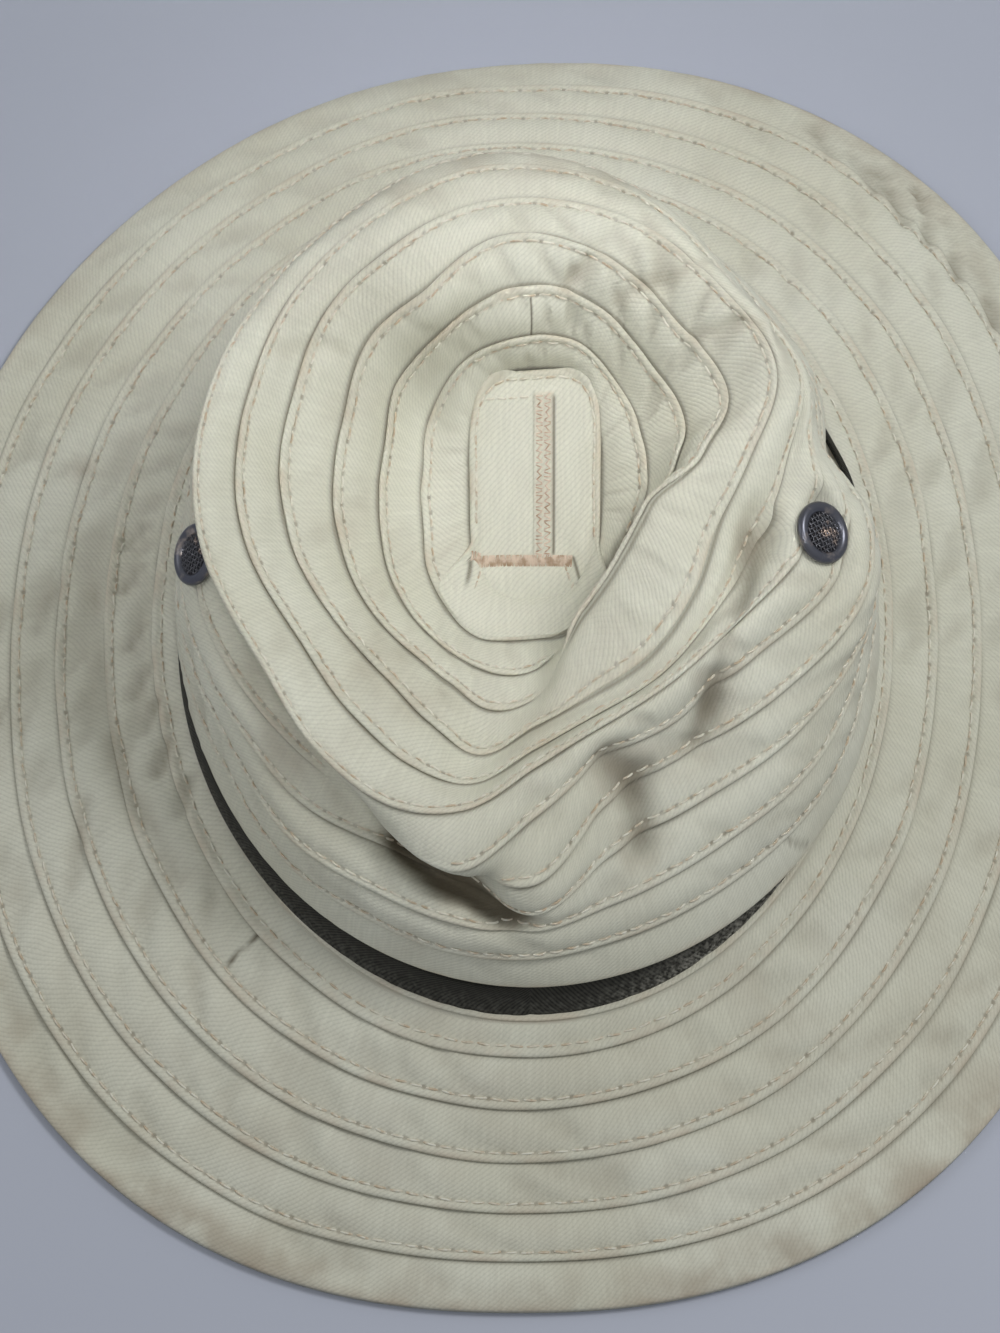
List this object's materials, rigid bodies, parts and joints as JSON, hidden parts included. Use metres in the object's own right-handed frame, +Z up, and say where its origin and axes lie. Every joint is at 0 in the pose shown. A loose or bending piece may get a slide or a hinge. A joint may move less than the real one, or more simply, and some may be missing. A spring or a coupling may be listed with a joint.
{
  "type": "sun hat",
  "caption": "Soft cotton sun hat sewn from overlapping strips, with a creased crown, a sloping brim, a dark ribbon band and mesh vents; shades the wearer's head.",
  "frame": {"origin": "on the surface the hat rests on, under the middle of the brim's outline", "axes": "+Z up, -Y towards the front of the hat, +X to the wearer's left, which is on the right in the picture"},
  "size_m": [0.2924, 0.3343, 0.1048],
  "materials": {
    "cotton": "washed cream cotton canvas",
    "cotton_patch": "washed cream cotton canvas",
    "cotton_brim": "washed cream cotton canvas, stained along its edge",
    "ribbon": "dark woven ribbon",
    "vent_metal": "gunmetal with a black mesh"
  },
  "bodies": {
    "root": {"crown_side": "cotton", "crown_top": "cotton", "crown_patch": "cotton_patch", "hat_band": "ribbon", "brim": "cotton_brim", "vent_left": "vent_metal", "vent_right": "vent_metal"}
  },
  "joints": []
}
